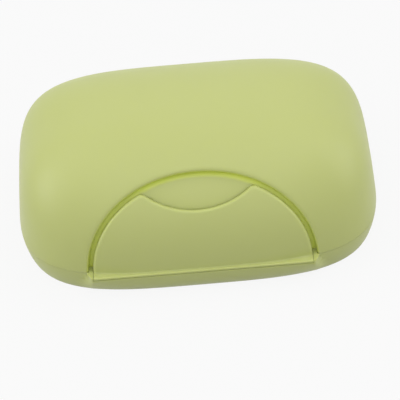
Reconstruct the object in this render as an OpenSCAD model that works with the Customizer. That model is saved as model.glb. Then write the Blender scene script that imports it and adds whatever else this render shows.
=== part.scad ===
// Travel soap box: shallow base, deep domed lid on a rear pin hinge,
// half-moon latch flap on the front, seal ring and lift-out drain tray.
// Millimetres, Z up. Origin: centre of the flat underside. Front is -Y.

/* [Body] */
// Width across the widest part of the body
body_w = 112; // [100:1:130]
// Depth from the front to the rear of the body
body_d = 82; // [74:1:96]
// Height of the closed box
body_h = 42; // [38:1:56]
// Height of the parting line between base and lid
seam_h = 8.6; // [8:0.1:12]
// Open line left between base rim and lid rim
seam_gap = 0.3; // [0.2:0.05:0.6]
// Squareness of the outline seen from above, 2 is an ellipse
plan_square = 3.6; // [3:0.1:5]
// Wall of the base and the lid
wall_t = 1.8; // [1.4:0.1:2.4]

/* [Lid form] */
// How far the lid walls lean in by the top
lid_lean = 3; // [1:0.5:5]
// Flatness of the lid top along its width
crown_x = 3.5; // [2.6:0.1:5]
// Uprightness of the lid end walls
wall_x = 4.2; // [3:0.1:6]
// Flatness of the lid top from front to rear
crown_y = 2.4; // [2:0.1:4]
// Uprightness of the lid front and rear walls
wall_y = 2.3; // [1.8:0.1:4]

/* [Base form] */
// How far the base walls draw in by the underside
base_lean = 2.4; // [1:0.1:4]
// Roundness of the base wall, 1 is a straight slope
base_round = 1.4; // [1:0.1:3]
// Thickness of the base floor
floor_t = 1.8; // [1.2:0.1:2.6]
// Thickness of the inward deck under the base rim
deck_t = 2; // [1.6:0.1:2.6]
// Width of the deck, from the outside of the rim to the soap well
deck_w = 4.4; // [4.2:0.1:6]
// Height of the splash wall above the base rim
dam_h = 3; // [1.5:0.1:5]
// Thickness of the splash wall
dam_t = 1.4; // [1:0.1:2]
// Radius of the soap well's front corners
well_r = 3; // [1:0.5:8]

/* [Latch flap] */
// Width of the half-moon recess at the parting line
recess_w = 70; // [60:1:76]
// Rise of the recess along the front of the lid
recess_rise = 29.9; // [26:0.1:32]
// Squareness of the half-moon outline, 2 is an ellipse
recess_square = 2.05; // [2:0.05:2.6]
// Angle at which the recess is cut into the front, from level
recess_tilt = 35; // [25:1:40]
// Depth of the recess floor that shows above the finger scoop
recess_depth = 2.4; // [2.1:0.1:3]
// Open groove between the flap and the recess edge
flap_gap = 1.4; // [1:0.1:2]
// Thickness of the flap
flap_t = 1.8; // [1.4:0.1:2]
// Radius of the finger scoop in the flap's top edge
scoop_r = 25.5; // [20:0.5:32]
// Height of the lowest point of the finger scoop
scoop_rise = 18.6; // [15:0.1:20]
// Radius that rounds the two horns beside the scoop
horn_r = 2.2; // [1:0.1:3]
// How far the flap's straight lower lip stands out past the body
lip_proud = 0.9; // [0.6:0.1:1.6]
// Thickness of the lower lip
lip_t = 0.8; // [0.6:0.1:1.2]
// Free space behind the lower lip
lip_clear = 0.6; // [0.4:0.1:1]
// Height of the lip's upper side above the parting line
lip_above = 0.35; // [0.2:0.05:0.6]
// Radius of the round bead that the flap's lower edge turns on
bead_r = 0.3; // [0.25:0.05:0.45]
// Free space around the bead
bead_clear = 0.06; // [0.04:0.01:0.1]
// Width of the wedge-shaped cheek at each end of the lip
cheek_w = 2.8; // [2:0.1:4]
// Height of the upright front under the lip
sill_h = 0.5; // [0.4:0.1:1.5]
// How far that front stands out past the lip
sill_proud = 0.1; // [0.05:0.05:0.2]
// Width of each of the two catch noses inside the flap
nose_w = 7; // [4:0.5:10]
// Distance of the catch noses from the middle
nose_x = 14; // [10:0.5:18]
// Height of the catch noses
nose_h = 1.6; // [1:0.1:2.4]
// Height of the catch noses above the parting line
nose_rise = 9; // [6:0.5:11]
// How far the lid's catch ribs stand out of the recess wall, less than the flap leaves free
catch_t = 0.3; // [0.2:0.05:0.35]
// Free space that lets the lid rise past the closed flap
pass_clear = 0.5; // [0.4:0.05:0.8]

/* [Rear hinge] */
// Number of knuckles, base and lid in turn
knuckle_n = 5; // [3:2:7]
// Outer radius of the knuckles
knuckle_r = 2.5; // [2.2:0.1:3]
// Length of the whole row of knuckles
hinge_len = 44; // [36:1:50]
// Free space between neighbouring knuckles
knuckle_gap = 0.3; // [0.2:0.05:0.5]
// Free space between the knuckles and the body
hinge_clear = 0.4; // [0.35:0.05:0.8]
// Radius of the hinge pin
pin_r = 1; // [0.8:0.05:1.2]
// Free space around the hinge pin
pin_clear = 0.05; // [0.03:0.01:0.08]

/* [Seal ring] */
// Width of the seal ring
seal_w = 1.2; // [0.8:0.1:1.4]
// Height of the seal ring
seal_h = 1; // [0.6:0.05:1.2]
// Land between the splash wall and the seal groove
seal_land = 0.4; // [0.3:0.05:0.6]
// Free space on each side of the ring in its groove
seal_clear = 0.05; // [0.03:0.01:0.1]

/* [Drain tray] */
// Thickness of the tray plate
tray_t = 1.6; // [1.2:0.1:2]
// Space for water between the base floor and the tray
sump_h = 2.8; // [2:0.1:3.2]
// Free space between the tray and the splash wall
tray_gap = 0.6; // [0.4:0.1:1.2]
// Free space between the tray and its posts
tray_seat = 0.2; // [0.15:0.05:0.4]
// Number of drain slots in a row
slot_n = 11; // [7:2:15]
// Distance between neighbouring slots
slot_pitch = 7; // [5.5:0.25:8]
// Width of a drain slot
slot_w = 3; // [2:0.25:4]
// Length of a drain slot
slot_l = 20; // [12:1:22]
// Width of the bridge between the two rows of slots
bridge_w = 6; // [4:0.5:10]
// Width of the soap ribs between the slots
rib_w = 1.4; // [1:0.1:2]
// Height of the soap ribs
rib_h = 1; // [0.6:0.1:1.6]
// Radius of the finger notch at each end of the tray
notch_r = 8.5; // [7:0.5:10]
// Radius of the posts that carry the tray
post_r = 2.2; // [1.5:0.1:3]
// Distance of the posts from the middle along the width
post_x = 38; // [30:1:42]
// Distance of the posts from the middle along the depth
post_y = 21; // [16:1:24]

/* [Hidden] */
shell_colour = [0.76, 0.79, 0.53];
trim_colour = [0.86, 0.87, 0.80];
pin_colour = [0.80, 0.81, 0.80];
eps = 0.01;
far = 200;
plan_steps = 72;
rise_steps = 20;
foot_steps = 6;
half_w = body_w / 2;
half_d = body_d / 2;
rim_base = seam_h - seam_gap / 2;
rim_lid = seam_h + seam_gap / 2;
rim_t = deck_w - dam_t - seam_gap;
flange_t = wall_t;
hinge_y = half_d + knuckle_r + hinge_clear;
hinge_z = seam_h;
knuckle_l = (hinge_len - (knuckle_n - 1) * knuckle_gap) / knuckle_n;
flap_w = recess_w - 2 * flap_gap;
flap_rise = recess_rise - flap_gap;
scoop_mid = scoop_rise + scoop_r;
lip_top = seam_h + lip_above;
lip_low = lip_top - lip_t;
bead_y = -half_d - lip_proud;
bead_z = lip_low - seam_gap / 2;
seat_top = lip_low - seam_gap;
tray_z = floor_t + sump_h;
// The lid's recess wall behind the flap is turned about the rear hinge axis, at each place across
// just inside the flap's nearest point, so the lid can rise past the closed flap.
core_steps = 42;
core_line = [for (k = [0:core_steps]) let (x = k / core_steps * flap_w / 2)
    [flap_near(x) - pass_clear, x]];
pass_r = min([for (p = core_line) p[0]]);
well_front = hinge_y - pass_r + wall_t + seam_gap + dam_t;
nose_low = seam_h + nose_rise;
cheek_x = flap_w / 2 + seam_gap;
sill_y = bead_y - sill_proud;

// Shares of the half size left at height share u, for crown k and wall m
function shrink(u, k, m) = pow(1 - pow(min(max(u, 0), 1), m), 1 / k);
function lid_x(u, i) = (half_w - i - lid_lean * u) * shrink(u, crown_x, wall_x);
function lid_y(u, i) = (half_d - i - lid_lean * u) * shrink(u, crown_y, wall_y);
function lid_share(z, i) = max(z - seam_h, 0) / (body_h - i - seam_h);
// Unit outline point at angle a
function round_point(a, n) =
    [cos(a), sin(a)] * pow(pow(abs(cos(a)), n) + pow(abs(sin(a)), n), -1 / n);
// Front surface of the lid, i below the outside
function front_y(x, z, i) =
    let (u = lid_share(z, i), t = 1 - pow(abs(x) / max(lid_x(u, i), eps), plan_square))
    -lid_y(u, i) * pow(max(t, 0), 1 / plan_square);
// Place of a point along the tilted recess plane
function up_front(y, z) = (y + half_d) * sin(recess_tilt) + (z - seam_h) * cos(recess_tilt);
// Rise of the flap's upper edge at x, on the arc or in the scoop
function flap_top(x) = min(
    flap_rise * pow(max(1 - pow(x / (flap_w / 2), recess_square), 0), 1 / recess_square),
    x < scoop_r ? scoop_mid - sqrt(scoop_r * scoop_r - x * x) : far
);
// Height on the flap's inside where it reaches that rise, found by halving
function edge_z(x, rise, low, high, n) =
    let (mid = (low + high) / 2)
    n == 0 ? mid
    : up_front(front_y(x, mid, flap_t), mid) > rise ? edge_z(x, rise, low, mid, n - 1)
    : edge_z(x, rise, mid, high, n - 1);
// Distance from the rear hinge axis to the flap's inside at its upper edge
function flap_near(x) =
    let (z = edge_z(x, flap_top(x), seam_h, body_h - 2 * flap_t, 24))
    norm([hinge_y - front_y(x, z, flap_t), z - hinge_z]);

// Closed solid through a list of rings, all with the same number of points
module loft(rings) {
    n = len(rings[0]);
    m = len(rings);
    sides = [
        for (j = [0:m - 2]) for (k = [0:n - 1]) let (a = j * n + k, b = j * n + (k + 1) % n)
            for (f = [[a, a + n, b], [b, a + n, b + n]]) f
    ];
    bottom = [for (k = [0:n - 1]) k];
    top = [for (k = [n - 1:-1:0]) (m - 1) * n + k];
    polyhedron([for (ring = rings) for (p = ring) p], concat(sides, [bottom, top]), convexity = 6);
}

function plan_ring(x, y, z) = [
    for (k = [0:plan_steps - 1]) let (p = round_point(k * 360 / plan_steps, plan_square))
        [p[0] * x, p[1] * y, z]
];

// Solid inside the lid's outer surface, drawn in by i, down to height low
module lid_form(i, low) {
    top = body_h - i;
    heights = [for (j = [1:rise_steps]) pow(sin(88 * j / rise_steps), 0.7)];
    start = lid_share(low, i);
    loft(concat(
        [plan_ring(lid_x(start, i), lid_y(start, i), low)],
        [for (u = heights) if (u > start) plan_ring(lid_x(u, i), lid_y(u, i), seam_h + u * (top - seam_h))]
    ));
}

// Solid inside the base's outer surface, drawn in by i, up to height high
module base_form(i, low, high) {
    function side(z) = let (v = min(max((seam_h - z) / seam_h, 0), 1))
        base_lean * (1 - pow(1 - pow(v, base_round), 1 / base_round));
    loft([for (j = [0:foot_steps]) let (z = low + (high - low) * pow(j / foot_steps, 1.5))
        plan_ring(half_w - i - side(z), half_d - i - side(z), z)]);
}

// Half-moon, w wide and h high, run down past the parting line
module half_moon(w, h) {
    polygon(concat(
        [for (a = [0:5:180]) let (p = round_point(a, recess_square)) [p[0] * w / 2, p[1] * h]],
        [[-w / 2, -far / 10], [w / 2, -far / 10]]
    ));
}

// Places a flat outline on the tilted recess plane and runs it through the front wall
module through_front() {
    translate([0, -half_d, seam_h]) rotate([90 - recess_tilt, 0, 0])
        translate([0, 0, -far / 8]) linear_extrude(far / 4) children();
}

// Room for the flap in the lid's front, grown by g all round
module recess_room(g) {
    difference() {
        through_front() half_moon(recess_w + 2 * g, recess_rise + g);
        intersection() {
            lid_form(recess_depth + g, 0);
            turned_core(-g);
        }
    }
}

// Round form about the rear hinge axis, just inside the flap, grown by g
module turned_core(g) {
    side = [for (p = core_line) [p[0] + g, p[1]]];
    end = side[core_steps][0];
    translate([0, hinge_y, hinge_z]) rotate([0, 90, 0]) rotate_extrude($fn = 180) polygon(concat(
        [[0, -far / 2], [end, -far / 2]],
        [for (k = [core_steps:-1:1]) [side[k][0], -side[k][1]]],
        side,
        [[end, far / 2], [0, far / 2]]
    ));
}

// Outline of the soap well, straight along the front where the flap stands
module well_outline(grow) {
    offset(r = grow, $fn = 48) offset(r = well_r, $fn = 48) offset(delta = -well_r) intersection() {
        polygon([for (p = plan_ring(half_w - deck_w, half_d - deck_w, 0)) [p[0], p[1]]]);
        translate([-far / 2, well_front]) square([far, far]);
    }
}

// Evaluates the soft shell as one closed skin
module skin() {
    resize([0, 0, 0]) children();
}

// Knuckle number k of the row, with a web to the body that runs down (-1) or up (1)
module knuckle(k, side) {
    translate([-hinge_len / 2 + k * (knuckle_l + knuckle_gap), hinge_y, hinge_z]) {
        rotate([0, 90, 0]) cylinder(r = knuckle_r, h = knuckle_l, $fn = 48);
        reach = knuckle_r + hinge_clear + wall_t * 0.7;
        web_h = knuckle_r - seam_gap / 2;
        translate([0, -reach, side > 0 ? seam_gap / 2 : -knuckle_r]) cube([knuckle_l, reach, web_h]);
    }
}

module hinge_bore() {
    translate([-far / 2, hinge_y, hinge_z]) rotate([0, 90, 0])
        cylinder(r = pin_r + pin_clear, h = far, $fn = 48);
}

module base_shell() {
    difference() {
        union() {
            base_form(0, 0, rim_base);
            translate([0, 0, rim_base - deck_t])
                linear_extrude(deck_t + dam_h) well_outline(dam_t);
            latch_seat();
        }
        intersection() {
            base_form(wall_t, floor_t, rim_base);
            translate([-far / 2, -far / 2, 0]) cube([far, far, rim_base - deck_t]);
        }
        translate([0, 0, rim_base - deck_t - eps]) linear_extrude(far) well_outline(0);
        translate([0, 0, rim_base - seal_h]) linear_extrude(far / 10) difference() {
            well_outline(dam_t + seal_land + seal_w + 2 * seal_clear);
            well_outline(dam_t + seal_land);
        }
        flap_footing();
    }
    for (x = [-post_x, post_x]) for (y = [-post_y, post_y])
        translate([x, y, floor_t - eps]) cylinder(r = post_r, h = sump_h - tray_seat + eps, $fn = 32);
}

// Straight sill under the flap's lip, with a cheek at each end. Its underside slopes back into
// the bowed wall, and above the rim it keeps clear of the lid.
module latch_seat() {
    body_y = front_y(cheek_x + cheek_w, seam_h, -seam_gap);
    back_y = -half_d + lip_back() - seam_gap;
    difference() {
        intersection() {
            rotate([90, 0, 90]) translate([0, 0, -far / 2]) linear_extrude(far) polygon([
                [sill_y, lip_top], [sill_y, seat_top - sill_h],
                [back_y, seat_top - sill_h - (back_y - sill_y)], [back_y, lip_top]
            ]);
            linear_extrude(far) polygon([
                [-cheek_x - cheek_w, body_y], [-cheek_x - seam_gap, sill_y], [cheek_x + seam_gap, sill_y],
                [cheek_x + cheek_w, body_y], [cheek_x + cheek_w, back_y], [-cheek_x - cheek_w, back_y]
            ]);
        }
        translate([0, 0, rim_base]) linear_extrude(far) difference() {
            polygon([for (p = plan_ring(half_w + seam_gap, half_d + seam_gap, 0)) [p[0], p[1]]]);
            square([recess_w - 2 * seam_gap, far], center = true);
        }
    }
}

// Room for the flap's lip
module flap_footing() {
    translate([-cheek_x, -far / 2, seat_top])
        cube([2 * cheek_x, far / 2 - half_d + lip_back(), far]);
}
function lip_back() = half_d + front_y(flap_w / 2, lip_top, flap_t) + lip_clear;

module base() {
    color(shell_colour) difference() {
        union() {
            skin() base_shell();
            for (k = [0:2:knuckle_n - 1]) knuckle(k, -1);
            translate([-flap_w / 2, bead_y, bead_z]) rotate([0, 90, 0])
                cylinder(r = bead_r, h = flap_w, $fn = 32);
        }
        hinge_bore();
    }
}

module lid_shell() {
    difference() {
        lid_form(0, rim_lid);
        difference() {
            union() {
                lid_form(wall_t, rim_lid + flange_t);
                linear_extrude(rim_lid + flange_t + eps) well_outline(dam_t + seam_gap);
            }
            recess_room(wall_t);
        }
        difference() {
            recess_room(0);
            catch_ribs();
        }
    }
}

// Two ribs inside the recess that the flap's noses face
module catch_ribs() {
    intersection() {
        difference() {
            turned_core(catch_t);
            turned_core(-catch_t);
        }
        for (x = [-nose_x, nose_x]) translate([x - nose_w / 2, -half_d, nose_low - seam_gap - nose_h])
            cube([nose_w, half_d / 2, nose_h]);
    }
}

module lid() {
    color(shell_colour) difference() {
        union() {
            skin() lid_shell();
            for (k = [1:2:knuckle_n - 1]) knuckle(k, 1);
        }
        hinge_bore();
    }
}

// Flap outline with its finger scoop and rounded horns
module flap_outline() {
    offset(r = horn_r, $fn = 40) offset(delta = -horn_r) difference() {
        half_moon(flap_w, flap_rise);
        translate([0, scoop_mid]) circle(r = scoop_r, $fn = 120);
    }
}

module flap_plate() {
    intersection() {
        through_front() flap_outline();
        difference() {
            lid_form(0, 0);
            lid_form(flap_t, -1);
        }
        translate([-far / 2, -far / 2, lip_low]) cube(far);
    }
}

module latch_flap() {
    color(shell_colour) difference() {
        union() {
            skin() union() {
                flap_plate();
                catch_noses();
            }
            translate([-flap_w / 2, bead_y, lip_low]) cube([flap_w, lip_depth(), lip_t]);
        }
        translate([-far / 2, bead_y, bead_z]) rotate([0, 90, 0])
            cylinder(r = bead_r + bead_clear, h = far, $fn = 32);
    }
}
function lip_depth() = lip_proud + lip_back() - lip_clear;

// Noses on the inside of the flap, short of the lid's catch ribs by the passing clearance
module catch_noses() {
    intersection() {
        difference() {
            lid_form(flap_t / 2, 0);
            turned_core(catch_t + pass_clear);
        }
        for (x = [-nose_x, nose_x]) translate([x - nose_w / 2, -half_d, nose_low])
            cube([nose_w, half_d / 2, nose_h]);
    }
}

module hinge_pin() {
    color(pin_colour) translate([-hinge_len / 2, hinge_y, hinge_z]) rotate([0, 90, 0])
        cylinder(r = pin_r, h = hinge_len, $fn = 48);
}

module seal_ring() {
    inner = dam_t + seal_land + seal_clear;
    color(trim_colour) translate([0, 0, rim_base - seal_h + seal_clear])
        linear_extrude(seal_h - seal_clear) difference() {
            well_outline(inner + seal_w);
            well_outline(inner);
        }
}

module slot_rows() {
    for (k = [0:slot_n - 1]) for (side = [-1, 1])
        translate([(k - (slot_n - 1) / 2) * slot_pitch, side * (bridge_w + slot_l) / 2 + tray_mid()])
            children();
}
function tray_mid() = (half_d - deck_w + well_front) / 2;

module drain_tray() {
    color(trim_colour) {
        translate([0, 0, tray_z]) linear_extrude(tray_t) difference() {
            well_outline(-tray_gap);
            slot_rows() {
                square([slot_w, slot_l - slot_w], center = true);
                for (e = [-1, 1]) translate([0, e * (slot_l - slot_w) / 2]) circle(d = slot_w, $fn = 24);
            }
            for (side = [-1, 1]) translate([side * (half_w - deck_w - tray_gap), tray_mid()])
                circle(r = notch_r, $fn = 48);
        }
        for (k = [0:slot_n]) translate([(k - slot_n / 2) * slot_pitch - rib_w / 2,
            tray_mid() - slot_l - bridge_w / 2, tray_z + tray_t - eps])
            cube([rib_w, 2 * slot_l + bridge_w, rib_h + eps]);
    }
}

base();
lid();
latch_flap();
hinge_pin();
seal_ring();
drain_tray();
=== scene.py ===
"""Looks of a travel soap box: soft pale green shells, a half-moon latch flap, a seal ring and a drain tray.

Sizes are in millimetres, as in the part's source, and become metres when a mesh is placed.
"""

import logging
import math
from dataclasses import dataclass, replace
from enum import Enum
from typing import Callable, ClassVar, Sequence

import bpy
import numpy as np
from mathutils import Matrix, Vector


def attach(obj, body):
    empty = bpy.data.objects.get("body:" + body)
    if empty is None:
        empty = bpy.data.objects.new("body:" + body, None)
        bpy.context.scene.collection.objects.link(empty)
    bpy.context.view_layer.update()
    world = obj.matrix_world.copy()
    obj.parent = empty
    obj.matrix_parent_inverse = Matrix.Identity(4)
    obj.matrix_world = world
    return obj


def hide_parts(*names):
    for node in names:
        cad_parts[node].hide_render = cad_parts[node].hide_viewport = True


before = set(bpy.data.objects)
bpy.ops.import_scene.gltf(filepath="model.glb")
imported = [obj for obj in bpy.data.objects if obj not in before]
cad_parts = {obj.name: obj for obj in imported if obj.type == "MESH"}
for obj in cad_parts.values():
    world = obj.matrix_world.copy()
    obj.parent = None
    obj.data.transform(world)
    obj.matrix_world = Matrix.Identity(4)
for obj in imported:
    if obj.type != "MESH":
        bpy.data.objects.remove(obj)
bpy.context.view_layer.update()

LOG = logging.getLogger("soap_box")
MM = 0.001
MERGE = 1e-6  # points closer than this, in metres, are one
SHARP = 35  # least angle in degrees of an edge that stays sharp in the shading
FAR = 60  # past every side of the box, in mm, for blocks that only cut
LEAST_STEP = 0.05  # least height between two rings of points, in mm
HALVINGS = 46  # steps of a search that halves its range
WHITE = (1.0, 1.0, 1.0, 1.0)


class Join(Enum):
    """How one solid is joined with another."""

    CUT = "DIFFERENCE"
    ADD = "UNION"
    KEEP = "INTERSECT"


def only(obj: bpy.types.Object) -> bpy.types.Object:
    """Selects one object alone and makes it active.

    Args:
        obj: The object to work on.
    """
    bpy.ops.object.select_all(action="DESELECT")
    obj.select_set(True)
    bpy.context.view_layer.objects.active = obj
    return obj


def named(name: str) -> bpy.types.Object:
    """Names the object that an operator has just added, and its mesh."""
    obj = bpy.context.active_object
    obj.name = name
    obj.data.name = name
    return obj


def placed(obj: bpy.types.Object) -> bpy.types.Object:
    """Bakes an object's place, turn and scale into its mesh."""
    only(obj)
    bpy.ops.object.transform_apply(location=True, rotation=True, scale=True)
    return obj


def face_outwards(obj: bpy.types.Object) -> None:
    """Turns every face of a closed solid outwards."""
    only(obj)
    bpy.ops.object.mode_set(mode="EDIT")
    bpy.ops.mesh.select_all(action="SELECT")
    bpy.ops.mesh.normals_make_consistent(inside=False)
    bpy.ops.object.mode_set(mode="OBJECT")


def formed_ball(name: str, rows: np.ndarray, top: Sequence[float],
                bottom: Sequence[float]) -> bpy.types.Object:
    """Adds a ball and draws its rings to given loops, top ring first.

    Args:
        name: Name of the piece.
        rows: Loops of points in mm, as rings x points x 3.
        top: Where the ball's upper pole goes, in mm.
        bottom: Where the ball's lower pole goes, in mm.

    Returns:
        A closed solid with outward faces.
    """
    count, around = rows.shape[:2]
    bpy.ops.object.select_all(action="DESELECT")
    bpy.ops.mesh.primitive_uv_sphere_add(segments=around, ring_count=count + 1, radius=1)
    obj = named(name)
    flat = np.empty(len(obj.data.vertices) * 3)
    obj.data.vertices.foreach_get("co", flat)
    ball = flat.reshape(-1, 3)
    ring = np.rint(np.arccos(np.clip(ball[:, 2], -1, 1)) / math.pi * (count + 1)).astype(int)
    turn = np.rint(np.arctan2(ball[:, 1], ball[:, 0]) / math.tau * around).astype(int) % around
    co = rows[np.clip(ring - 1, 0, count - 1), turn]
    co[ring == 0] = top
    co[ring == count + 1] = bottom
    obj.data.vertices.foreach_set("co", (co * MM).ravel())
    obj.data.update()
    face_outwards(obj)
    return obj


def block(name: str, low: Sequence[float], high: Sequence[float], round_by: float = 0) -> bpy.types.Object:
    """Adds a box between two corners and rounds its edges.

    Args:
        name: Name of the piece.
        low: Lowest corner in mm.
        high: Highest corner in mm.
        round_by: Radius of the edges in mm, 0 for sharp ones.

    Returns:
        The box, with its place in its mesh.
    """
    size = [(b - a) * MM for a, b in zip(low, high)]
    centre = [(b + a) / 2 * MM for a, b in zip(low, high)]
    bpy.ops.object.select_all(action="DESELECT")
    bpy.ops.mesh.primitive_cube_add(size=1, location=centre, scale=size)
    obj = placed(named(name))
    if round_by:
        bpy.ops.object.mode_set(mode="EDIT")
        bpy.ops.mesh.select_all(action="SELECT")
        bpy.ops.mesh.bevel(offset=round_by * MM, segments=3)
        bpy.ops.object.mode_set(mode="OBJECT")
    return obj


def paired_blocks(name: str, x: float, half: float, low: float, high: float, round_by: float,
                  along: tuple[float, float] = (-42, -20)) -> bpy.types.Object:
    """Adds one long block across the box's front and cuts its middle out, so that two are left.

    Args:
        name: Name of the piece.
        x: How far each block's middle is from the middle of the box, in mm.
        half: Half the width of a block in mm.
        low: Height of their underside.
        high: Height of their top.
        round_by: Radius of their outer edges in mm.
        along: Their ends in Y, one before the flap and one behind the recess, in mm.

    Returns:
        The two blocks as one object.
    """
    pair = block(name, (-x - half, along[0], low), (x + half, along[1], high), round_by)
    return join(pair, block("middle", (half - x, -FAR, 0), (x - half, 0, FAR)), Join.CUT)


def rod(name: str, start: float, length: float, centre: tuple[float, float], radius: float,
        around: int = 64, round_by: float = 0) -> bpy.types.Object:
    """Adds a rod along X.

    Args:
        name: Name of the piece.
        start: Where the rod starts along X, in mm.
        length: Its length in mm.
        centre: Its place in Y and Z, in mm.
        radius: Its radius in mm.
        around: Number of faces round it.
        round_by: Radius of the rounding at its ends in mm.

    Returns:
        The rod, with its place in its mesh.
    """
    bpy.ops.object.select_all(action="DESELECT")
    bpy.ops.mesh.primitive_cylinder_add(
        vertices=around, radius=radius * MM, depth=length * MM,
        location=((start + length / 2) * MM, centre[0] * MM, centre[1] * MM), rotation=(0, math.pi / 2, 0))
    obj = placed(named(name))
    if round_by:
        pick_edges(obj, lambda a, b: abs(a.x - b.x) < MERGE)
        bpy.ops.object.mode_set(mode="EDIT")
        bpy.ops.mesh.bevel(offset=round_by * MM, segments=3)
        bpy.ops.object.mode_set(mode="OBJECT")
    return obj


def pick_edges(obj: bpy.types.Object, wanted: Callable[[Vector, Vector], bool]) -> None:
    """Selects the edges whose two ends pass a test.

    Args:
        obj: The mesh object, in object mode.
        wanted: Takes the two end points in metres and says whether the edge is picked.
    """
    mesh = obj.data
    only(obj)
    bpy.ops.object.mode_set(mode="EDIT")
    bpy.ops.mesh.select_mode(type="EDGE")
    bpy.ops.mesh.select_all(action="DESELECT")
    bpy.ops.object.mode_set(mode="OBJECT")
    for edge in mesh.edges:
        a, b = (mesh.vertices[i].co for i in edge.vertices)
        edge.select = bool(wanted(a, b))


def join(body: bpy.types.Object, tool: bpy.types.Object, how: Join) -> bpy.types.Object:
    """Joins a tool solid with a body and removes the tool.

    Args:
        body: The solid that is kept.
        tool: The solid that is added, cut away or kept in common.
        how: Which of these.
    """
    only(body)
    mod = body.modifiers.new("join", "BOOLEAN")
    mod.operation = how.value
    mod.solver = "MANIFOLD"
    mod.object = tool
    bpy.ops.object.modifier_apply(modifier=mod.name)
    bpy.data.objects.remove(tool, do_unlink=True)
    return body


def gathered(pieces: Sequence[bpy.types.Object]) -> bpy.types.Object:
    """Gathers pieces that don't touch into one object."""
    bpy.ops.object.select_all(action="DESELECT")
    for piece in pieces:
        piece.select_set(True)
    bpy.context.view_layer.objects.active = pieces[0]
    bpy.ops.object.join()
    return pieces[0]


def soften(obj: bpy.types.Object, radius: float, angle: float) -> None:
    """Rounds every edge that is sharper than an angle.

    Args:
        obj: The solid.
        radius: Radius of the rounding in mm.
        angle: Least angle of an edge that is rounded, in degrees.
    """
    only(obj)
    mod = obj.modifiers.new("soften", "BEVEL")
    mod.width = radius * MM
    mod.segments = 3
    mod.limit_method = "ANGLE"
    mod.angle_limit = math.radians(angle)
    bpy.ops.object.modifier_apply(modifier=mod.name)


def ready(obj: bpy.types.Object, body: str, node: str) -> bpy.types.Object:
    """Finishes a piece's mesh and lets it stand for its CAD node.

    Args:
        obj: The finished solid.
        body: The body that it rides on.
        node: The CAD node that it replaces.
    """
    finish_mesh(obj)
    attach(obj, body)
    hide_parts(node)
    return obj


def finish_mesh(obj: bpy.types.Object) -> None:
    """Merges doubles and shades smooth, but for the sharp edges."""
    only(obj)
    bpy.ops.object.mode_set(mode="EDIT")
    bpy.ops.mesh.select_all(action="SELECT")
    bpy.ops.mesh.remove_doubles(threshold=MERGE)
    bpy.ops.object.mode_set(mode="OBJECT")
    bpy.ops.object.shade_smooth_by_angle(angle=math.radians(SHARP))


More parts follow.
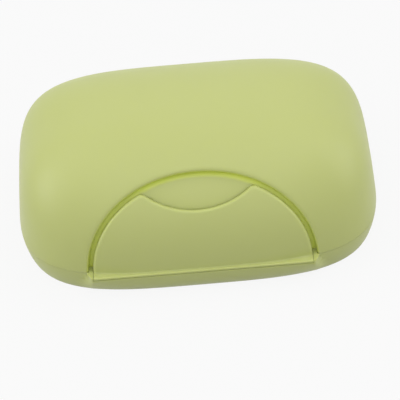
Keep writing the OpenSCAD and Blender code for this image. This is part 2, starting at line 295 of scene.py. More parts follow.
@dataclass(frozen=True)
class BodyForm:
    """The soft outer form that both shells and the flap share."""

    half_w: float = 56
    half_d: float = 41
    height: float = 42
    seam: float = 8.6
    plan_square: float = 3.6
    lean: float = 3
    crown_x: float = 3.5
    wall_x: float = 4.2
    crown_y: float = 2.4
    wall_y: float = 2.3
    base_lean: float = 2.4
    base_round: float = 1.4
    wall: float = 1.8
    around: int = 240
    search: float = 20.0
    top_ring: float = 88.8
    ring_crowd: float = 0.8
    close_at: tuple[float, ...] = ()
    close_by: float = 0.8
    close_over: float = 0.11

    def outline(self) -> np.ndarray:
        """Points of the unit outline seen from above, counter-clockwise."""
        a = np.arange(self.around) * math.tau / self.around
        for bend in self.close_at:
            a = a - self.close_by * np.exp(-((a - bend) / self.close_over) ** 2) * (a - bend)
        c, s = np.cos(a), np.sin(a)
        k = (abs(c) ** self.plan_square + abs(s) ** self.plan_square) ** (-1 / self.plan_square)
        return np.stack([c * k, s * k], -1)

    def ring(self, half_x: float, half_y: float, z: float) -> np.ndarray:
        """One loop of the outline at a height."""
        p = self.outline()
        return np.column_stack([p[:, 0] * half_x, p[:, 1] * half_y, np.full(len(p), z)])

    def lid_half(self, share: np.ndarray, inset: float) -> tuple[np.ndarray, np.ndarray]:
        """Half width and half depth of the lid at a share of its height.

        Args:
            share: 0 at the parting line, 1 at the top.
            inset: How far inside the outer surface, in mm.

        Returns:
            Half width and half depth in mm.
        """
        u = np.clip(share, 0, 1)
        x = (self.half_w - inset - self.lean * u) * (1 - u ** self.wall_x) ** (1 / self.crown_x)
        y = (self.half_d - inset - self.lean * u) * (1 - u ** self.wall_y) ** (1 / self.crown_y)
        return x, y

    def dome(self, name: str, inset: float, low: float, steps: int = 56) -> bpy.types.Object:
        """Makes the solid inside the lid's surface.

        Args:
            name: Name of the piece.
            inset: How far inside the outer surface, in mm.
            low: Height of its flat underside.
            steps: Number of rings.
        """
        top = self.height - inset
        rows = []
        for a in np.linspace(self.top_ring, 0, steps):
            share = math.sin(math.radians(a)) ** self.ring_crowd
            z = self.seam + share * (top - self.seam)
            if z > low + LEAST_STEP:
                rows.append(self.ring(*self.lid_half(share, inset), z))
        rows.append(self.ring(*self.lid_half((low - self.seam) / (top - self.seam), inset), low))
        return formed_ball(name, np.array(rows), (0, 0, top), (0, 0, low))

    def tub(self, name: str, inset: float, heights: Sequence[float],
            shape: Callable[[np.ndarray], np.ndarray] = lambda ring: ring) -> bpy.types.Object:
        """Makes the solid inside the base's surface.

        Args:
            name: Name of the piece.
            inset: How far inside the outer surface, in mm.
            heights: Heights of its rings, lowest first.
            shape: Changes each ring before it is used.
        """
        rows = []
        for z in heights[::-1]:
            v = min(max((self.seam - z) / self.seam, 0), 1)
            side = self.base_lean * (1 - (1 - v ** self.base_round) ** (1 / self.base_round))
            rows.append(shape(self.ring(self.half_w - inset - side, self.half_d - inset - side, z)))
        return formed_ball(name, np.array(rows), (0, 0, heights[-1]), (0, 0, heights[0]))

    def on_lid(self, flat: np.ndarray, tilt: float, inset: float = 0) -> np.ndarray:
        """Runs points of the tilted recess plane back on to the lid's surface.

        Args:
            flat: Points across and up the recess plane, in mm, as n x 2.
            tilt: Tilt of that plane in degrees.
            inset: How far inside the outer surface they land, in mm.

        Returns:
            Points in space in mm, as n x 3.
        """
        s, c = math.sin(math.radians(tilt)), math.cos(math.radians(tilt))
        x, rise = flat[:, 0], flat[:, 1]
        near, far = np.full(len(x), -self.search), np.full(len(x), self.search)
        for _ in range(HALVINGS):
            mid = (near + far) / 2
            y = -self.half_d + rise * s + mid * c
            z = self.seam + rise * c - mid * s
            hx, hy = self.lid_half((z - self.seam) / (self.height - inset - self.seam), inset)
            hx, hy = np.maximum(hx, 1e-6), np.maximum(hy, 1e-6)
            inside = (abs(x) / hx) ** self.plan_square + (abs(y) / hy) ** self.plan_square < 1
            inside &= z < self.height - inset
            far = np.where(inside, mid, far)
            near = np.where(inside, near, mid)
        return np.stack([x, -self.half_d + rise * s + far * c, self.seam + rise * c - far * s], -1)


@dataclass(frozen=True)
class FlapOutline:
    """Outline of the flap across and up the recess plane: a half-moon with a scoop and two horns."""

    half_w: float = 33.6
    rise: float = 28.5
    square: float = 2.05
    scoop_r: float = 25.5
    scoop_mid: float = 44.1
    horn_r: float = 2.2
    first_angle: float = 0.035

    def arc(self, angle: np.ndarray, grow: float = 0) -> np.ndarray:
        """Points of the half-moon at given angles, grown on all sides."""
        c, s = np.cos(angle), np.sin(angle)
        k = (abs(c) ** self.square + abs(s) ** self.square) ** (-1 / self.square)
        return np.stack([c * k * (self.half_w + grow), s * k * (self.rise + grow)], -1)

    def top(self, x: np.ndarray) -> np.ndarray:
        """Rise of the upper edge at a place across, on the arc or in the scoop."""
        arc = self.rise * np.clip(1 - (x / self.half_w) ** self.square, 0, 1) ** (1 / self.square)
        dip = self.scoop_mid - np.sqrt(np.clip(self.scoop_r ** 2 - x ** 2, 0, None))
        return np.where(x < self.scoop_r, np.minimum(arc, dip), arc)

    def horn_centre(self, angle: float) -> np.ndarray:
        """A point inside the half-moon by the horn's radius."""
        near = self.arc(np.array([angle - 1e-4, angle, angle + 1e-4]))
        step = (near[2] - near[0]) / np.linalg.norm(near[2] - near[0])
        return near[1] + np.array([-step[1], step[0]]) * self.horn_r

    def upper(self) -> np.ndarray:
        """The whole upper edge, from the lower right round to the lower left."""
        low, high = 0.3, math.pi / 2
        for _ in range(HALVINGS):
            mid = (low + high) / 2
            c = self.horn_centre(mid)
            outside = math.hypot(c[0], c[1] - self.scoop_mid) > self.scoop_r + self.horn_r
            low, high = (mid, high) if outside else (low, mid)
        arc = self.arc(np.linspace(self.first_angle, low, 90))
        c = self.horn_centre(low)
        to_scoop = np.array([0, self.scoop_mid]) - c
        turn = np.linspace(math.atan2(*(arc[-1] - c)[::-1]), math.atan2(*to_scoop[::-1]), 18)[1:-1]
        horn = c + self.horn_r * np.stack([np.cos(turn), np.sin(turn)], -1)
        touch = c + to_scoop * self.horn_r / (self.horn_r + self.scoop_r)
        dip = np.linspace(math.atan2(touch[1] - self.scoop_mid, touch[0]), -math.pi / 2, 34)
        scoop = np.stack([self.scoop_r * np.cos(dip), self.scoop_mid + self.scoop_r * np.sin(dip)], -1)
        right = np.concatenate([arc, horn, scoop])
        return np.concatenate([right, right[::-1][1:] * [-1, 1]])


@dataclass(frozen=True)
class Recess:
    """The half-moon recess in the lid's front, cut along a tilted plane."""

    form: BodyForm
    flap: FlapOutline
    hinge: tuple[float, float]
    gap: float = 1.4
    tilt: float = 35
    depth: float = 2.4
    flap_thick: float = 1.8
    pass_clear: float = 0.5
    edge_round: float = 1.5
    low_round: float = 0.4
    round_grows: tuple[float, float] = (-2, 12)
    reach: float = 18
    middle: tuple[float, float] = (0, 6)
    start: float = 9
    skirt: float = 12
    flare: float = 2.1
    flare_rise: float = 0.26
    first_bend: float = 25
    half_turned: float = 80
    around: int = 180

    def inwards(self) -> np.ndarray:
        """Direction in which the recess is cut."""
        a = math.radians(self.tilt)
        return np.array([0, math.cos(a), -math.sin(a)])

    def pass_line(self) -> tuple[np.ndarray, np.ndarray]:
        """Where the lid's wall behind the flap may stand, so that it can rise past the closed flap.

        Returns:
            Places across, and the wall's distance from the rear hinge axis at each.
        """
        x = np.linspace(0, self.flap.half_w, 43)
        edge = self.form.on_lid(np.stack([x, self.flap.top(x)], -1), self.tilt, self.flap_thick)
        return x, np.hypot(self.hinge[0] - edge[:, 1], edge[:, 2] - self.hinge[1]) - self.pass_clear

    def turned(self, grow: float) -> bpy.types.Object:
        """Makes the round form about the rear hinge axis, just inside the flap."""
        x, r = self.pass_line()
        end = self.half_turned
        across = np.concatenate([[end], x[::-1], -x[1:], [-end]])
        far = np.concatenate([[r[-1]], r[::-1], r[1:], [r[-1]]]) + grow
        turn = np.arange(self.around) * math.tau / self.around
        y, z = self.hinge
        rows = np.stack([across[:, None] + 0 * turn, y + far[:, None] * np.cos(turn),
                         z + far[:, None] * np.sin(turn)], -1)
        return formed_ball("turned", rows, (end, y, z), (-end, y, z))

    def room(self, name: str, grow: float = 0) -> bpy.types.Object:
        """Makes the solid that is cut out of the lid's front.

        Args:
            name: Name of the piece.
            grow: How much larger than the recess it is all round, in mm.

        Returns:
            The closed solid, with a softly flared mouth where grow is 0.
        """
        arc = self.flap.arc(np.linspace(0, math.pi, 261), self.gap + grow)
        side = np.linspace(-self.skirt, 0, 9)[:-1]
        right = np.stack([np.full(len(side), arc[0, 0]), side], -1)
        path = np.concatenate([right, arc, right[::-1] * [-1, 1]])
        step = np.gradient(path, axis=0)
        out = np.stack([step[:, 1], -step[:, 0]], -1)
        out /= np.linalg.norm(out, axis=1)[:, None]
        profile = [(0, -self.start), (0, self.reach)]
        if not grow:
            r = self.edge_round
            bend = np.radians(np.linspace(self.first_bend, 90, 8))
            profile = [(self.flare * r, -self.start), (self.flare * r, -self.flare_rise * r)]
            profile += [(r * (1 - math.sin(a)), r * (1 - math.cos(a))) for a in bend] + [(0, self.reach)]
        rows = []
        for away, deep in profile:
            fit = np.interp(path[:, 1], self.round_grows, (self.low_round, 1))
            flat = path + out * away * fit[:, None]
            rows.append(self.form.on_lid(flat, self.tilt) + self.inwards() * deep)
        middle = self.form.on_lid(np.array([self.middle]), self.tilt)[0]
        obj = formed_ball(name, np.array(rows), middle - self.inwards() * self.start,
                          middle + self.inwards() * self.reach)
        core = join(self.form.dome("core", self.depth + grow, -FAR / 3), self.turned(-grow), Join.KEEP)
        return join(obj, core, Join.CUT)


@dataclass(frozen=True)
class RearHinge:
    """Sizes and pieces of the knuckle hinge behind the box."""

    y: float = 43.9
    z: float = 8.6
    radius: float = 2.5
    clear: float = 0.4
    bore: float = 1.05
    pin_r: float = 1.0
    pin_round: float = 0.25
    length: float = 44
    count: int = 5
    gap: float = 0.3
    end_round: float = 0.3
    web_gap: float = 0.15
    web_short: float = 0.05
    web_in: float = 1.26

    @property
    def axis(self) -> tuple[float, float]:
        """Place of the axis in Y and Z."""
        return self.y, self.z

    def add_knuckles(self, body: bpy.types.Object, first: int, upper: bool) -> bpy.types.Object:
        """Adds every other knuckle with its web to a shell, and bores them.

        Args:
            body: The shell.
            first: Number of its first knuckle.
            upper: True for webs above the parting line.
        """
        long = (self.length - (self.count - 1) * self.gap) / self.count
        for k in range(first, self.count, 2):
            start = -self.length / 2 + k * (long + self.gap)
            join(body, rod("knuckle", start, long, self.axis, self.radius, 64, self.end_round), Join.ADD)
            low, high = (self.web_gap, self.radius) if upper else (-self.radius, -self.web_gap)
            reach = self.radius + self.clear + self.web_in
            web = block("web", (start + self.web_short, self.y - reach, self.z + low),
                        (start + long - self.web_short, self.y, self.z + high))
            join(body, web, Join.ADD)
        return join(body, rod("bore", -FAR, 2 * FAR, self.axis, self.bore, 48), Join.CUT)

    def pin(self) -> bpy.types.Object:
        """Makes the pin, with rounded ends."""
        pin = rod("hinge_pin_rod", -self.length / 2, self.length, self.axis, self.pin_r, 48, self.pin_round)
        return ready(pin, "base_body", "hinge_pin")


@dataclass(frozen=True)
class Well:
    """Outline of the soap well, straight along the front where the flap stands."""

    form: BodyForm
    front: float
    deck: float = 4.4
    corner: float = 3
    dam: float = 1.4
    seal_room: tuple[float, float] = (0.4, 1.7)
    seal_slack: float = 0.05
    seal_z: tuple[float, float] = (7.5, 8.45)
    seal_round: float = 0.28

    def prism(self, name: str, grow: float, low: float, high: float) -> bpy.types.Object:
        """Makes an upright solid with the well's outline.

        Args:
            name: Name of the piece.
            grow: How far outside the well's wall it goes, in mm.
            low: Height of its underside.
            high: Height of its top.
        """
        half = (self.form.half_w - self.deck + grow, self.form.half_d - self.deck + grow)
        rows = np.array([self.form.ring(*half, high), self.form.ring(*half, low)])
        obj = formed_ball(name, rows, (0, 0, high), (0, 0, low))
        wall_y = self.front - grow
        only(obj)
        bpy.ops.object.mode_set(mode="EDIT")
        bpy.ops.mesh.select_all(action="SELECT")
        bpy.ops.mesh.bisect(plane_co=(0, wall_y * MM, 0), plane_no=(0, -1, 0), use_fill=True,
                            clear_outer=True)
        bpy.ops.object.mode_set(mode="OBJECT")
        pick_edges(obj, lambda a, b: abs(a.z - b.z) > 1e-5 and abs(a.y - wall_y * MM) < 1e-5
                   and abs(b.y - wall_y * MM) < 1e-5 and abs(a.x) > 0.02)
        bpy.ops.object.mode_set(mode="EDIT")
        bpy.ops.mesh.bevel(offset=(self.corner + grow) * MM, segments=8)
        bpy.ops.object.mode_set(mode="OBJECT")
        face_outwards(obj)
        return obj

    def seal(self) -> bpy.types.Object:
        """Makes the seal ring, with a rounded upper side."""
        inner, outer = self.seal_room
        low, high = self.seal_z
        ring = self.prism("seal_ring_soft", self.dam + outer - self.seal_slack, low, high)
        join(ring, self.prism("island", self.dam + inner + self.seal_slack, low - 1, high + 1), Join.CUT)
        soften(ring, self.seal_round, 60)
        return ready(ring, "base_body", "seal_ring")


@dataclass
class Lid:
    """The deep domed lid with its half-moon recess."""

    form: BodyForm
    recess: Recess
    well: Well
    hinge: RearHinge
    rim: float = 8.63
    flange: float = 1.8
    mouth_gap: float = 0.3
    rib_x: float = 14
    rib_half: float = 3.5
    rib_z: tuple[float, float] = (15.7, 17.3)
    rib_proud: float = 0.3
    rib_round: float = 0.2

    def build(self) -> bpy.types.Object:
        """Makes the lid and lets it ride on its body."""
        wall = self.form.wall
        lid = self.form.dome("lid_shell", 0, self.rim)
        hollow = self.form.dome("hollow", wall, self.rim + self.flange)
        mouth = self.well.prism("mouth", self.well.dam + self.mouth_gap, -1, self.rim + self.flange + 0.01)
        join(hollow, mouth, Join.ADD)
        join(hollow, self.recess.room("room_grown", wall), Join.CUT)
        join(lid, hollow, Join.CUT)
        join(lid, self.recess.room("room"), Join.CUT)
        join(lid, self.ribs(), Join.ADD)
        self.hinge.add_knuckles(lid, 1, True)
        return ready(lid, "lid_body", "lid")

    def ribs(self) -> bpy.types.Object:
        """Makes the two ribs inside the recess that the flap's noses face."""
        low, high = self.rib_z
        ribs = paired_blocks("ribs", self.rib_x, self.rib_half, low, high, self.rib_round)
        join(ribs, self.recess.turned(self.rib_proud), Join.KEEP)
        return join(ribs, self.recess.turned(-self.rib_proud), Join.CUT)


@dataclass
class Base:
    """The shallow base with its splash wall, sill and hinge knuckles."""

    form: BodyForm
    well: Well
    hinge: RearHinge
    rim: float = 8.57
    floor: float = 1.8
    deck_low: float = 6.45
    dam_top: float = 11.45
    seat_top: float = 8.0
    lip_top: float = 8.95
    seat_mid: float = 8.3
    seat_back: float = -36.475
    cheek_x: float = 33.65
    cheek_w: float = 1.7
    cheek_spread: float = 4.5
    cheek_end: float = 34.93
    cheek_back: float = -34.7
    sill_y: float = -41.92
    sill_high: float = 7.6
    sill_low: float = 0.3
    lid_clear: float = 0.12
    rings: int = 22
    cheeks_at: tuple[float, float] = (4.14, 5.285)
    posts: tuple[float, float] = (38, 21)
    post_r: float = 2.2
    post_z: tuple[float, float] = (1.2, 4.4)
    post_round: float = 0.4

    def build(self) -> bpy.types.Object:
        """Makes the base and lets it ride on its body."""
        heights = [self.sill_high * (j / self.rings) ** 1.5 for j in range(self.rings + 1)]
        heights += [self.seat_top, self.seat_mid, self.rim, self.lip_top]
        bulged = replace(self.form, around=360, close_at=self.cheeks_at)
        base = bulged.tub("base_shell", 0, heights, self.faired)
        join(base, self.lid_room(), Join.CUT)
        join(base, self.well.prism("dam", self.well.dam, self.deck_low, self.dam_top), Join.ADD)
        sump = [self.floor + (self.deck_low - self.floor) * (j / 12) ** 1.6 for j in range(13)]
        join(base, self.form.tub("sump", self.form.wall, sump), Join.CUT)
        join(base, self.well.prism("well", 0, self.deck_low - 0.5, self.dam_top + 1), Join.CUT)
        inner, outer = self.well.seal_room
        low = self.well.seal_z[0] - self.well.seal_slack
        groove = self.well.prism("groove", self.well.dam + outer, low, self.dam_top + 1)
        join(groove, self.well.prism("island", self.well.dam + inner, low - 1, self.dam_top + 2), Join.CUT)
        join(base, groove, Join.CUT)
        footing = block("footing", (-self.cheek_x, -FAR, self.seat_top),
                        (self.cheek_x, self.seat_back, FAR))
        join(base, footing, Join.CUT)
        for x in (-self.posts[0], self.posts[0]):
            for y in (-self.posts[1], self.posts[1]):
                join(base, self.stud(x, y), Join.ADD)
        self.hinge.add_knuckles(base, 0, False)
        return ready(base, "base_body", "base")

    def faired(self, ring: np.ndarray) -> np.ndarray:
        """Draws a ring's front out to the sill's straight line, strongest at the rim."""
        up = np.clip((ring[:, 2] - self.sill_low) / (self.sill_high - self.sill_low), 0, 1)
        t = np.clip((abs(ring[:, 0]) - self.cheek_x) / (self.cheek_w + self.cheek_spread * (1 - up)), 0, 1)
        share = np.cos(t * math.pi / 2) ** (0.75 + 1.0 * (1 - up)) * up
        out = np.clip(ring[:, 1] - self.sill_y, 0, None) * share * (ring[:, 1] < -20)
        return ring - np.stack([0 * out, out, 0 * out], -1)

    def lid_room(self) -> bpy.types.Object:
        """Makes the room above the rim that the lid takes, clear of the cheeks in its recess."""
        half_w, half_d = self.form.half_w + self.lid_clear, self.form.half_d + self.lid_clear
        plan = np.array([self.form.ring(half_w, half_d, z) for z in (FAR, self.rim)])
        room = formed_ball("lid_room", plan, (0, 0, FAR), (0, 0, self.rim))
        slab = block("slab", (-self.cheek_end, -FAR, 0), (self.cheek_end, self.cheek_back, FAR + 1))
        return join(room, slab, Join.CUT)

    def stud(self, x: float, y: float) -> bpy.types.Object:
        """Makes one post that carries the tray."""
        bpy.ops.object.select_all(action="DESELECT")
        low, high = self.post_z
        bpy.ops.mesh.primitive_cylinder_add(vertices=48, radius=self.post_r * MM, depth=(high - low) * MM,
                                            location=(x * MM, y * MM, (low + high) / 2 * MM))
        obj = placed(named("stud"))
        pick_edges(obj, lambda a, b: min(a.z, b.z) > high * MM - MERGE)
        bpy.ops.object.mode_set(mode="EDIT")
        bpy.ops.mesh.bevel(offset=self.post_round * MM, segments=3)
        bpy.ops.object.mode_set(mode="OBJECT")
        return obj


@dataclass
class Flap:
    """The half-moon latch flap with its finger scoop and straight lower lip."""

    form: BodyForm
    recess: Recess
    outline: FlapOutline
    thick: float = 1.8
    edge_round: float = 0.9
    lip_y: float = -41.9
    lip_low: float = 8.05
    lip_top: float = 8.95
    lip_back: float = -37.08
    lip_round: float = 0.3
    cove: float = 0.55
    foot_low: float = 0.25
    back_slope: float = 0.25
    nose_x: float = 14
    nose_half: float = 3.5
    nose_z: tuple[float, float] = (17.6, 19.2)
    nose_round: float = 0.25
    centre: tuple[float, float] = (0, 7)

    def foot(self, x: np.ndarray) -> np.ndarray:
        """Rise of the flap's lower edge, inside the lip, at a place across."""
        k = (1 - (abs(x) / self.form.half_w) ** self.form.plan_square) ** (1 / self.form.plan_square)
        s, c = math.sin(math.radians(self.recess.tilt)), math.cos(math.radians(self.recess.tilt))
        return self.form.half_d * (1 - k) * s - self.foot_low * c

    def build(self) -> bpy.types.Object:
        """Makes the flap and lets it ride on its body."""
        x = np.linspace(-1, 1, 100)[1:-1] * self.outline.half_w * 0.9995
        upper = self.outline.upper()
        path = np.concatenate([upper, np.stack([x, self.foot(x)], -1)])
        foot = np.arange(len(path)) >= len(upper)
        step = np.gradient(upper, axis=0)
        into = np.zeros_like(path)
        into[~foot] = np.stack([-step[:, 1], step[:, 0]], -1) / np.linalg.norm(step, axis=1)[:, None]
        r = self.edge_round
        rows, inward = [], self.recess.inwards()

        def inset(by: float) -> np.ndarray:
            """The outline moved inwards, with the foot's points kept on the foot."""
            loop = path + into * by
            loop[foot, 0] = path[foot, 0] * (1 - by / self.outline.half_w)
            loop[foot, 1] = self.foot(loop[foot, 0])
            return loop

        inner_loop = inset(r)
        centre = np.array(self.centre)
        shares = 1 - (1 - np.linspace(0, 1, 41)[1:]) ** 1.5
        for t in shares:
            rows.append(self.coved(centre + (inner_loop - centre) * t))
        for bend in np.radians(np.linspace(75, 0, 6)):
            rows.append(self.coved(inset((1 - math.cos(bend)) * r)) + inward * (1 - math.sin(bend)) * r)
        inside = self.form.on_lid(path, self.recess.tilt, self.thick)
        rows.append(inside - inward * self.back_slope)
        for t in (1, *shares[::-1][1:]):
            flat = centre + (path + into * self.back_slope - centre) * t
            rows.append(self.form.on_lid(flat, self.recess.tilt, self.thick))
        pole = np.array([self.centre])
        flap = formed_ball("latch_flap_plate", np.array(rows), self.form.on_lid(pole, self.recess.tilt)[0],
                           self.form.on_lid(pole, self.recess.tilt, self.thick)[0])
        half = self.outline.half_w
        lip = block("lip", (-half, self.lip_y, self.lip_low), (half, self.lip_back, self.lip_top),
                    self.lip_round)
        join(flap, lip, Join.ADD)
        join(flap, self.noses(), Join.ADD)
        return ready(flap, "flap_body", "latch_flap")

    def noses(self) -> bpy.types.Object:
        """Makes the two catch noses, short of the lid's wall behind them."""
        low, high = self.nose_z
        noses = paired_blocks("noses", self.nose_x, self.nose_half, low, high, self.nose_round)
        join(noses, self.form.dome("flap_back", self.thick / 2, 2), Join.KEEP)
        return join(noses, self.recess.turned(Lid.rib_proud + self.recess.pass_clear), Join.CUT)

    def coved(self, flat: np.ndarray) -> np.ndarray:
        """Points on the flap's face, drawn out in a small cove where it meets the lip."""
        p = self.form.on_lid(flat, self.recess.tilt)
        ledge = p[:, 1] - self.lip_y
        cove = np.minimum(self.cove, ledge * 0.6)
        up = np.clip((p[:, 2] - self.lip_top + 0.1) / cove, 0, 1)
        p[:, 1] -= cove * (1 - np.sqrt(np.clip(1 - (1 - up) ** 2, 0, 1))) * (up < 1)
        return p


@dataclass
class DrainTray:
    """The lift-out tray with two rows of drain slots and soap ribs between them."""

    well: Well
    low: float = 4.6
    thick: float = 1.6
    gap: float = 0.6
    slots: int = 11
    pitch: float = 7
    slot: tuple[float, float] = (3, 20)
    bridge: float = 6
    rib: tuple[float, float] = (1.4, 1.0)
    notch_r: float = 8.5
    edge_round: float = 0.3
    rib_round: float = 0.45
    rib_foot: float = 0.6

    def build(self) -> bpy.types.Object:
        """Makes the tray and lets it ride on its body."""
        form, well = self.well.form, self.well
        mid = (form.half_d - well.deck + well.front) / 2
        top = self.low + self.thick
        tray = well.prism("tray_plate", -self.gap, self.low, top)
        wide, long = self.slot
        cutters = []
        for k in range(self.slots):
            x = (k - (self.slots - 1) / 2) * self.pitch
            for side in (-1, 1):
                y = mid + side * (self.bridge + long) / 2
                slot = block("slot", (x - wide / 2, y - long / 2, self.low - 1),
                             (x + wide / 2, y + long / 2, top + 1))
                pick_edges(slot, lambda a, b: abs(a.z - b.z) > MERGE)
                bpy.ops.object.mode_set(mode="EDIT")
                bpy.ops.mesh.bevel(offset=wide / 2 * MM * 0.999, segments=8)
                bpy.ops.object.mode_set(mode="OBJECT")
                cutters.append(slot)
        for side in (-1, 1):
            bpy.ops.object.select_all(action="DESELECT")
            bpy.ops.mesh.primitive_cylinder_add(
                vertices=96, radius=self.notch_r * MM, depth=0.01,
                location=(side * (form.half_w - well.deck - self.gap) * MM, mid * MM, self.low * MM))
            cutters.append(placed(named("notch")))
        join(tray, gathered(cutters), Join.CUT)
        soften(tray, self.edge_round, 60)
        ribs = []
        rib_w, rib_h = self.rib
        for k in range(self.slots + 1):
            x = (k - self.slots / 2) * self.pitch
            reach = long + self.bridge / 2
            ribs.append(block("rib", (x - rib_w / 2, mid - reach, top - self.rib_foot),
                              (x + rib_w / 2, mid + reach, top + rib_h), self.rib_round))
        join(tray, gathered(ribs), Join.ADD)
        return ready(tray, "tray_body", "drain_tray")


class Value:
    """A shader socket with the usual arithmetic."""

    def __init__(self, graph: "Graph", socket: bpy.types.NodeSocket) -> None:
        """Keeps the graph and the socket.

        Args:
            graph: The graph that the socket is in.
            socket: An output socket.
        """
        self.graph, self.socket = graph, socket

    def _math(self, operation: str, a, b) -> "Value":
        """One Math node on two values."""
        return self.graph.node("ShaderNodeMath", {"operation": operation}, {0: a, 1: b})

    def __add__(self, other) -> "Value":
        """Sum."""
        return self._math("ADD", self, other)

    def __mul__(self, other) -> "Value":
        """Product."""
        return self._math("MULTIPLY", self, other)

    def __sub__(self, other) -> "Value":
        """Difference."""
        return self._math("SUBTRACT", self, other)

    def __truediv__(self, other) -> "Value":
        """Quotient."""
        return self._math("DIVIDE", self, other)

    def __pow__(self, other) -> "Value":
        """Power."""
        return self._math("POWER", self, other)

    def __abs__(self) -> "Value":
        """Size without its sign."""
        return self._math("ABSOLUTE", self, 0.0)

    def least(self, other) -> "Value":
        """The value, but never less than another one."""
        return self._math("MAXIMUM", self, other)

    def fade(self, start: float, end: float) -> "Value":
        """A soft step.

        Args:
            start: Where the step is still 0.
            end: Where it has become 1.

        Returns:
            The step, held at 0 and 1 on either side.
        """
        return self.graph.node("ShaderNodeMapRange", {"interpolation_type": "SMOOTHSTEP"},
                               {"Value": self, "From Min": start, "From Max": end}, "Result")


class Graph:
    """The node tree of a material or of the world."""

    def __init__(self, owner: bpy.types.Material | bpy.types.World) -> None:
        """Empties the tree and gives it an output node.

        Args:
            owner: The material or world.
        """
        self.owner = owner
        owner.use_nodes = True
        self.tree = owner.node_tree
        self.tree.nodes.clear()
        kind = "ShaderNodeOutputWorld" if isinstance(owner, bpy.types.World) else "ShaderNodeOutputMaterial"
        self.end = self.tree.nodes.new(kind)

    def node(self, kind: str, settings: dict | None = None, inputs: dict | None = None, out=0) -> Value:
        """Adds a node.

        Args:
            kind: The node's type.
            settings: Attributes that are set first.
            inputs: Socket name or number to a constant or a Value.
            out: Name or number of the socket that is returned.
        """
        made = self.tree.nodes.new(kind)
        for key, value in (settings or {}).items():
            setattr(made, key, value)
        for key, value in (inputs or {}).items():
            if isinstance(value, Value):
                self.tree.links.new(value.socket, made.inputs[key])
            else:
                made.inputs[key].default_value = value
        return Value(self, made.outputs[out])

    def noise(self, place: Value, scale: float, detail: float) -> Value:
        """A soft cloud of values from 0 to 1, over the given place."""
        inputs = {"Vector": place, "Scale": scale, "Detail": detail}
        return self.node("ShaderNodeTexNoise", {}, inputs, "Fac")

    def blend(self, share: Value, first: Value | tuple, second: Value | tuple) -> Value:
        """Blends two colours.

        Args:
            share: 0 for the first colour, 1 for the second.
            first: A colour, as a Value or as four numbers.
            second: Likewise.
        """
        a, b, result = 6, 7, 2  # the node's sockets for colours
        inputs = {"Factor": share, a: first, b: second}
        return self.node("ShaderNodeMix", {"data_type": "RGBA"}, inputs, result)

    def unlit(self) -> Value:
        """1 for a ray that sees the surround itself, from the camera or in a gloss or glass."""
        seen = [self.node("ShaderNodeLightPath", out=ray)
                for ray in ("Is Camera Ray", "Is Glossy Ray", "Is Transmission Ray")]
        return self.node("ShaderNodeClamp", {}, {"Value": seen[0] + seen[1] + seen[2]})

    def finish(self, shader: Value) -> bpy.types.Material | bpy.types.World:
        """Links the surface and returns the tree's owner."""
        self.tree.links.new(shader.socket, self.end.inputs["Surface"])
        return self.owner


@dataclass(frozen=True)
class MouldedPlastic:
    """A satin moulded plastic with a fine spark-eroded grain, and, where asked, a painted glow in the
    groove round the flap.
    """

    name: str
    colour: tuple[float, float, float]
    shade: tuple[float, float, float]
    roughness: float = 0.42
    cloud_scale: float = 38.0
    grain_scale: float = 2600.0
    grain: float = 0.012
    subsurface: float = 0.0
    # painted light: a lighter, greener colour painted into the groove round the flap, in place of light the
    # translucent plastic scatters there; None for no painted glow
    groove: tuple[float, float, float] | None = None
    recess: Recess | None = None
    painted_glow_edge: tuple[float, float] = (1.045, 0.985)
    painted_glow_floor: tuple[float, float] = (0.86, 0.95)
    inner_faces: tuple[float, float] = (0.45, 0.2)

    def painted_groove_glow_mask(self, g: Graph, place: Value, normal: Value) -> Value:
        """Finds the groove round the flap, where a lighter, deeper green is painted in as a glow: painted
        light in place of light scattered through the translucent plastic.

        Args:
            g: The graph.
            place: The point in object coordinates.
            normal: The surface normal there.

        Returns:
            The share of the painted glow colour: 1 in the groove and 0 elsewhere.
        """
        cut, flap = self.recess, self.recess.flap
        x, y, z = (g.node("ShaderNodeSeparateXYZ", {}, {0: place}, axis) for axis in "XYZ")
        lean = math.radians(cut.tilt)
        rise = (y + cut.form.half_d * MM) * math.sin(lean) + (z - cut.form.seam * MM) * math.cos(lean)
        across = abs(x) / ((flap.half_w + cut.gap) * MM)
        up = rise.least(0.0) / ((flap.rise + cut.gap) * MM)
        share = across ** flap.square + up ** flap.square
        ny, nz = (g.node("ShaderNodeSeparateXYZ", {}, {0: normal}, axis) for axis in "YZ")
        outer = (ny * math.cos(lean) - nz * math.sin(lean)).fade(*self.inner_faces)
        return share.fade(*self.painted_glow_edge) * share.fade(*self.painted_glow_floor) * outer

    def material(self) -> bpy.types.Material:
        """Builds the node material."""
        g = Graph(bpy.data.materials.new(self.name))
        place = g.node("ShaderNodeTexCoord", out="Object")
        cloud = g.noise(place, self.cloud_scale, 3.0)
        fine = g.noise(place, self.grain_scale, 2.0)
        colour = g.blend(cloud * 0.5 + fine * 0.12 - 0.05, (*self.colour, 1), (*self.shade, 1))
        # painted light: the groove round the flap is painted a lighter, deeper green as a glow, in place of
        # light scattered into it
        if self.groove:
            share = self.painted_groove_glow_mask(g, place, g.node("ShaderNodeTexCoord", out="Normal"))
            colour = g.blend(share, colour, (*self.groove, 1))
        rough = fine * 0.1 + (cloud * 0.06 + (self.roughness - 0.08))
        bump = g.node("ShaderNodeBump", {}, {"Height": fine, "Strength": 0.35, "Distance": self.grain * MM},
                      "Normal")
        shader = g.node("ShaderNodeBsdfPrincipled", {}, {
            "Base Color": colour, "Roughness": rough, "Normal": bump, "IOR": 1.49,
            "Subsurface Weight": self.subsurface, "Subsurface Scale": 2 * MM,
            "Subsurface Radius": (1.0, 1.0, 0.5)}, "BSDF")
        return g.finish(shader)


def linear(*rgb: float) -> tuple[float, ...]:
    """Scene-linear values of a display colour given from 0 to 255."""
    return tuple(c / 255 / 12.92 if c <= 10.3 else ((c / 255 + 0.055) / 1.055) ** 2.4 for c in rgb)


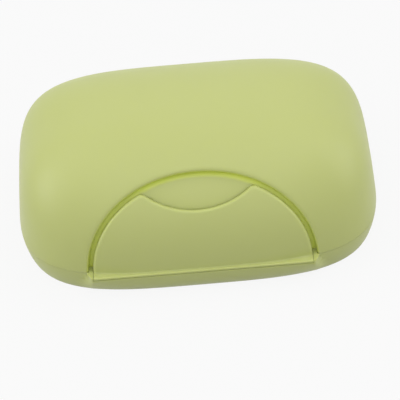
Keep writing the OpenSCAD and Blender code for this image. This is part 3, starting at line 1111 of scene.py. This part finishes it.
SHELL = MouldedPlastic("shell_plastic", linear(187, 194, 120), linear(184, 191, 116), subsurface=0.4)
# painted glow: the lighter, deeper green painted into the groove round the flap, in place of light the
# plastic scatters there
PAINTED_GROOVE_GLOW = linear(219, 229, 107)
TRAY = MouldedPlastic("tray_plastic", linear(222, 224, 208), linear(216, 218, 200), roughness=0.46)
SEAL = MouldedPlastic("seal_rubber", linear(224, 226, 214), linear(216, 218, 204), roughness=0.62)
PIN = MouldedPlastic("pin_plastic", linear(206, 208, 196), linear(198, 200, 186), roughness=0.4)


def dress(obj: bpy.types.Object, material: bpy.types.Material) -> None:
    """Gives a piece one material."""
    obj.data.materials.clear()
    obj.data.materials.append(material)


@dataclass(frozen=True)
class Studio:
    """Camera, lamps and floor, as in the photograph."""

    lamps: ClassVar[dict[str, tuple[tuple[float, float, float], float, float]]] = {
        "upper_left": ((-0.6, 0.1, 1.1), 0.9, 1.55),
        "upper_right": ((0.5, 0.1, 1.1), 0.9, 1.91),
        "upper_front": ((0.0, -0.5, 1.1), 0.8, 1.88),
        "rear": ((0.0, 0.85, 0.95), 0.9, 0.93),
        "left": ((-1.1, -0.1, 0.6), 0.8, 4.76),
        "right": ((1.1, 0.0, 0.6), 0.8, 3.67),
        "front": ((0.0, -1.0, 0.65), 0.7, 0.85),
    }
    turn: float = -0.35438
    elevation: float = 41.01392
    roll: float = -4.53802
    distance: float = 759.4385
    focal: float = 2422.6333
    aim: tuple[float, float, float] = (0, 0, 20)
    slide: tuple[float, float] = (-1.97565, 14.45645)
    picture: int = 400
    sensor: float = 36
    fill: float = 0.524
    floor_size: float = 6
    floor_drop: float = 0.0001
    floor_tone: float = 0.5
    floor_white: float = 0.9

    def camera(self) -> None:
        """Places the camera and makes it the scene's."""
        a, e, r = (math.radians(v) for v in (self.turn, self.elevation, self.roll))
        back = Vector((math.sin(a) * math.cos(e), -math.cos(a) * math.cos(e), math.sin(e)))
        right = Vector((math.cos(a), math.sin(a), 0))
        up = back.cross(right)
        right, up = math.cos(r) * right + math.sin(r) * up, -math.sin(r) * right + math.cos(r) * up
        place = Vector(self.aim) + back * self.distance - right * self.slide[0] - up * self.slide[1]
        data = bpy.data.cameras.new("camera")
        data.sensor_width = self.sensor
        data.lens = self.focal / self.picture * self.sensor
        data.clip_start, data.clip_end = 0.01, 20
        cam = bpy.data.objects.new("camera", data)
        bpy.context.scene.collection.objects.link(cam)
        cam.matrix_world = Matrix.Translation(place * MM) @ Matrix((right, up, back)).transposed().to_4x4()
        bpy.context.scene.camera = cam

    def lamp(self, name: str, place: Sequence[float], size: float, power: float) -> None:
        """Adds a square soft lamp that points at the box.

        Args:
            name: Name of the lamp.
            place: Where it hangs, in metres.
            size: Its side in metres.
            power: Its power in watts.
        """
        data = bpy.data.lights.new(name, "AREA")
        data.shape, data.size, data.energy = "SQUARE", size, power
        lamp = bpy.data.objects.new(name, data)
        bpy.context.scene.collection.objects.link(lamp)
        lamp.location = place
        lamp.rotation_mode = "QUATERNION"
        lamp.rotation_quaternion = (Vector(place) - Vector((0, 0, 0.02))).to_track_quat("Z", "Y")

    def world(self, level: float) -> None:
        """Gives a plain white surround, which the camera sees as white."""
        g = Graph(bpy.data.worlds.new("surround"))
        bpy.context.scene.world = g.owner
        strength = g.unlit() * (1 - level) + level
        g.finish(g.node("ShaderNodeBackground", {}, {"Color": WHITE, "Strength": strength}, "Background"))

    def floor(self) -> None:
        """Lays a white floor that keeps a faint shadow."""
        bpy.ops.object.select_all(action="DESELECT")
        bpy.ops.mesh.primitive_plane_add(size=self.floor_size, location=(0, 0, -self.floor_drop))
        obj = placed(named("floor"))
        g = Graph(bpy.data.materials.new("floor_white"))
        matt = g.node("ShaderNodeBsdfDiffuse", {}, {"Color": (*[self.floor_tone] * 3, 1)}, "BSDF")
        glow = g.node("ShaderNodeEmission", {}, {"Color": WHITE, "Strength": 1.0}, "Emission")
        mixed = g.node("ShaderNodeMixShader", {}, {0: g.unlit() * self.floor_white, 1: matt, 2: glow})
        dress(obj, g.finish(mixed))

    def build(self) -> None:
        """Sets up the whole studio."""
        self.camera()
        self.world(self.fill)
        for name, (place, size, power) in self.lamps.items():
            self.lamp(name, place, size, power)
        self.floor()
        bpy.context.scene.view_settings.view_transform = "Standard"


def main() -> None:
    """Builds every piece, dresses it and sets up the studio."""
    logging.basicConfig(level=logging.INFO, format="%(name)s: %(message)s")
    Studio().build()
    form = BodyForm()
    hinge = RearHinge()
    outline = FlapOutline()
    recess = Recess(form, outline, hinge.axis)
    recess_back = hinge.y - recess.pass_line()[1].min() + form.wall
    well = Well(form, recess_back + Lid.mouth_gap + Well.dam)
    shell = SHELL.material()
    # the lid's plastic carries the painted glow in the groove round the flap
    lid_shell = replace(SHELL, name="shell_plastic_lid_painted_glow", groove=PAINTED_GROOVE_GLOW, recess=recess).material()
    makers = ((Lid(form, recess, well, hinge).build, lid_shell), (Base(form, well, hinge).build, shell),
              (Flap(form, recess, outline).build, shell), (DrainTray(well).build, TRAY.material()),
              (well.seal, SEAL.material()), (hinge.pin, PIN.material()))
    for make, finish in makers:
        piece = make()
        dress(piece, finish)
        LOG.info("%s: %d faces", piece.name, len(piece.data.polygons))


if __name__ == "__main__":
    main()
